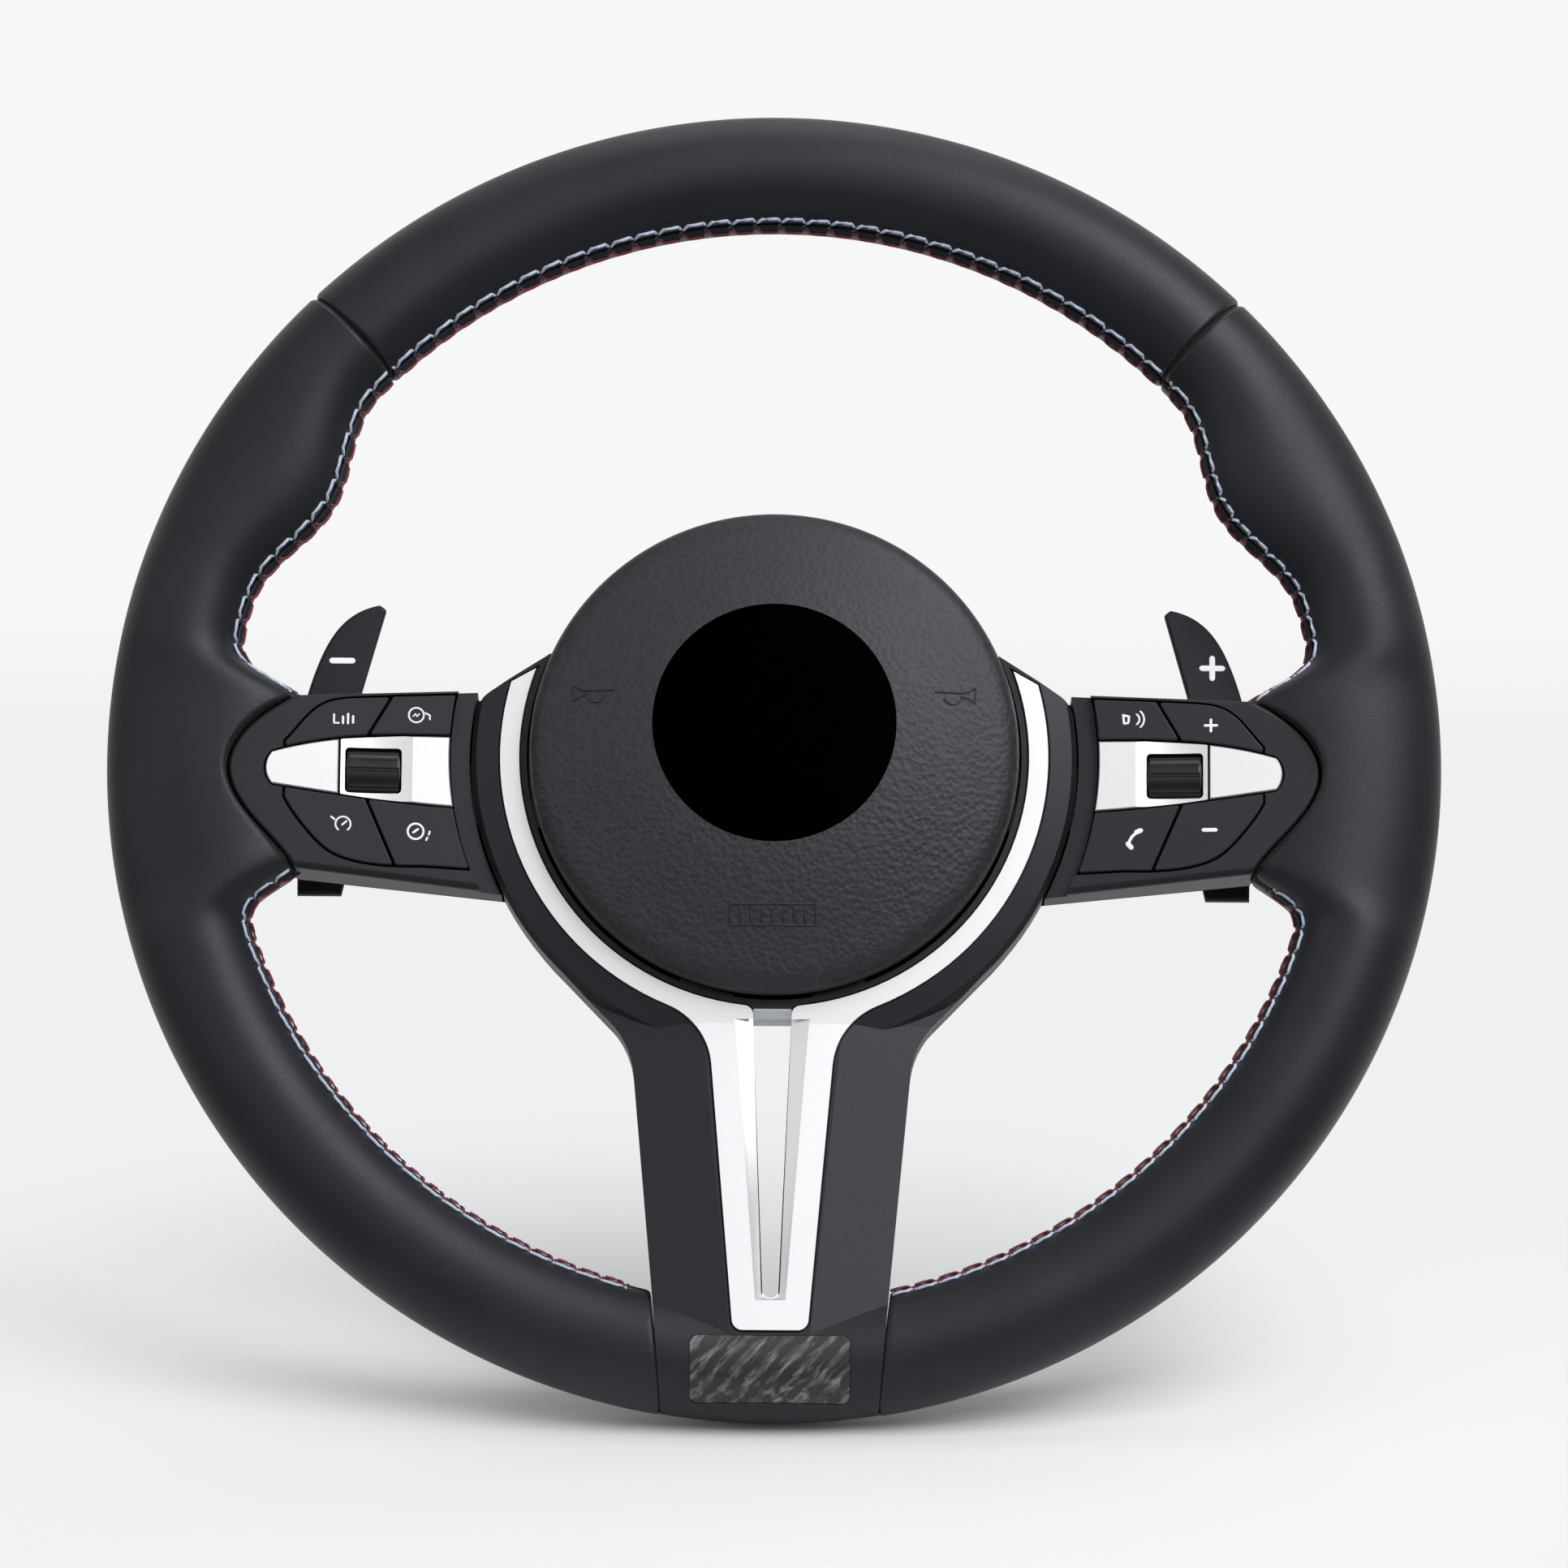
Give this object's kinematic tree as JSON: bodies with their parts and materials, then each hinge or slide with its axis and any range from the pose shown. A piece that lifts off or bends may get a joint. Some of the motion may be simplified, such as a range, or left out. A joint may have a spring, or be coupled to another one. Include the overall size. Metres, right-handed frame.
{
  "type": "car steering wheel",
  "caption": "Round leather-wrapped car steering wheel with side switch panels, gear paddles, a silver Y trim on the lower spoke and an airbag pad that presses for the horn.",
  "frame": {"origin": "centre of the column bore's mouth, on the hub's rear seat", "axes": "+Y along the column away from the driver, +Z to twelve o'clock on the rim, +X to the driver's right"},
  "size_m": [0.374, 0.0771, 0.3737],
  "materials": {
    "leather": "smooth, fine grain",
    "foam": "matte",
    "casting": "cast",
    "steel": "plain",
    "cover_plastic": "fine grain",
    "airbag_skin": "soft grain",
    "silver_plastic": "satin paint",
    "black_gloss": "gloss",
    "badge_plate": "gloss weave",
    "key_plastic": "matte",
    "paddle_plastic": "satin",
    "board": "matte",
    "connector": "matte",
    "cushion_cloth": "woven"
  },
  "bodies": {
    "wheel": {"hub_casting": "casting", "rim_core": "steel", "rim_foam": "foam", "upper_leather": "leather", "front_cover": "cover_plastic", "silver_trim": "silver_plastic", "spoke_badge_blank": "badge_plate", "rear_cover": "cover_plastic", "cover_screws": "steel", "harness_socket": "connector", "horn_posts": "steel", "horn_springs": "steel", "left_grip_leather": "leather", "left_strip": "silver_plastic", "left_switch_housing": "cover_plastic", "left_switch_board": "board", "left_paddle_pin": "steel", "left_paddle_spring": "steel", "left_paddle_switch": "key_plastic", "right_grip_leather": "leather", "right_strip": "silver_plastic", "right_switch_housing": "cover_plastic", "right_switch_board": "board", "right_paddle_pin": "steel", "right_paddle_spring": "steel", "right_paddle_switch": "key_plastic"},
    "airbag": {"airbag_cover": "airbag_skin", "emblem_blank": "black_gloss", "airbag_can": "steel", "inflator": "steel", "inflator_nuts": "steel", "airbag_cushion": "cushion_cloth"},
    "left_button_upper_outer": {"left_button_upper_outer": "key_plastic"},
    "left_button_upper_inner": {"left_button_upper_inner": "key_plastic"},
    "left_button_lower_outer": {"left_button_lower_outer": "key_plastic"},
    "left_button_lower_inner": {"left_button_lower_inner": "key_plastic"},
    "left_strip_button": {"left_strip_button": "silver_plastic"},
    "left_roller": {"left_roller": "black_gloss"},
    "left_paddle": {"left_paddle": "paddle_plastic"},
    "right_button_upper_outer": {"right_button_upper_outer": "key_plastic"},
    "right_button_upper_inner": {"right_button_upper_inner": "key_plastic"},
    "right_button_lower_outer": {"right_button_lower_outer": "key_plastic"},
    "right_button_lower_inner": {"right_button_lower_inner": "key_plastic"},
    "right_strip_button": {"right_strip_button": "silver_plastic"},
    "right_roller": {"right_roller": "black_gloss"},
    "right_paddle": {"right_paddle": "paddle_plastic"}
  },
  "joints": [
    {"name": "horn_press", "type": "slide", "parent": "wheel", "child": "airbag", "axis": [0, 1, 0], "range_m": [0, 0.0015], "stiffness_N_per_m": 15000, "springref_m": -0.0015, "deforming": ["horn_springs"]},
    {"name": "left_button_upper_outer_press", "type": "slide", "parent": "wheel", "child": "left_button_upper_outer", "axis": [-0.0872, 0.9962, 0], "range_m": [0, 0.0006], "stiffness_N_per_m": 2500, "springref_m": -0.0006},
    {"name": "left_button_upper_inner_press", "type": "slide", "parent": "wheel", "child": "left_button_upper_inner", "axis": [-0.0872, 0.9962, 0], "range_m": [0, 0.0006], "stiffness_N_per_m": 2500, "springref_m": -0.0006},
    {"name": "left_button_lower_outer_press", "type": "slide", "parent": "wheel", "child": "left_button_lower_outer", "axis": [-0.0872, 0.9962, 0], "range_m": [0, 0.0006], "stiffness_N_per_m": 2500, "springref_m": -0.0006},
    {"name": "left_button_lower_inner_press", "type": "slide", "parent": "wheel", "child": "left_button_lower_inner", "axis": [-0.0872, 0.9962, 0], "range_m": [0, 0.0006], "stiffness_N_per_m": 2500, "springref_m": -0.0006},
    {"name": "left_strip_button_press", "type": "slide", "parent": "wheel", "child": "left_strip_button", "axis": [-0.0872, 0.9962, 0], "range_m": [0, 0.0006], "stiffness_N_per_m": 2500, "springref_m": -0.0006},
    {"name": "left_roller_turn", "type": "hinge", "parent": "wheel", "child": "left_roller", "pos_m": [-0.11208, -0.05446, -0.005], "axis": [0.9962, 0.0872, 0], "range_deg": [-12, 12], "stiffness_Nm_per_rad": 0.08},
    {"name": "left_paddle_pull", "type": "hinge", "parent": "wheel", "child": "left_paddle", "pos_m": [-0.093, -0.025, 0], "axis": [0, 0, 1], "range_deg": [0, 5], "stiffness_Nm_per_rad": 1.2, "springref_deg": -5.16, "deforming": ["left_paddle_spring"]},
    {"name": "right_button_upper_outer_press", "type": "slide", "parent": "wheel", "child": "right_button_upper_outer", "axis": [0.0872, 0.9962, 0], "range_m": [0, 0.0006], "stiffness_N_per_m": 2500, "springref_m": -0.0006},
    {"name": "right_button_upper_inner_press", "type": "slide", "parent": "wheel", "child": "right_button_upper_inner", "axis": [0.0872, 0.9962, 0], "range_m": [0, 0.0006], "stiffness_N_per_m": 2500, "springref_m": -0.0006},
    {"name": "right_button_lower_outer_press", "type": "slide", "parent": "wheel", "child": "right_button_lower_outer", "axis": [0.0872, 0.9962, 0], "range_m": [0, 0.0006], "stiffness_N_per_m": 2500, "springref_m": -0.0006},
    {"name": "right_button_lower_inner_press", "type": "slide", "parent": "wheel", "child": "right_button_lower_inner", "axis": [0.0872, 0.9962, 0], "range_m": [0, 0.0006], "stiffness_N_per_m": 2500, "springref_m": -0.0006},
    {"name": "right_strip_button_press", "type": "slide", "parent": "wheel", "child": "right_strip_button", "axis": [0.0872, 0.9962, 0], "range_m": [0, 0.0006], "stiffness_N_per_m": 2500, "springref_m": -0.0006},
    {"name": "right_roller_turn", "type": "hinge", "parent": "wheel", "child": "right_roller", "pos_m": [0.11208, -0.05446, -0.005], "axis": [0.9962, -0.0872, 0], "continuous": true},
    {"name": "right_paddle_pull", "type": "hinge", "parent": "wheel", "child": "right_paddle", "pos_m": [0.093, -0.025, 0], "axis": [0, 0, -1], "range_deg": [0, 5], "stiffness_Nm_per_rad": 1.2, "springref_deg": -5.16, "deforming": ["right_paddle_spring"]}
  ]
}
